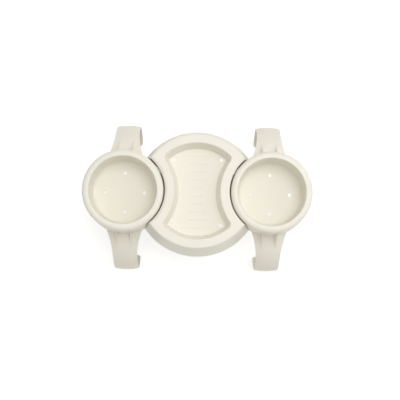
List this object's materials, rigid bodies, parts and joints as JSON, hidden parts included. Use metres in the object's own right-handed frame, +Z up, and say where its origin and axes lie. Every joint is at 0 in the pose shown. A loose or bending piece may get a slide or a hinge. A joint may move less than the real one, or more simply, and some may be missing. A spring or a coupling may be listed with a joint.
{
  "type": "drink holder",
  "caption": "Cream plastic drink holder for the wall of an inflatable pool: round cup wells with curved clip arms and a snack tray that nests between them.",
  "frame": {"origin": "centre of the footprint, on the level of the tips of the four clip arms", "axes": "+X from the left cup holder to the right one, along the pool wall; +Z up, out of the cup wells; -Y towards the viewer"},
  "size_m": [0.352, 0.235, 0.1811],
  "materials": {
    "cream_plastic": "smooth satin moulding with a fine spark-eroded texture"
  },
  "bodies": {
    "root": {"snack_tray": "cream_plastic", "left_cup_holder": "cream_plastic", "right_cup_holder": "cream_plastic"}
  },
  "joints": []
}
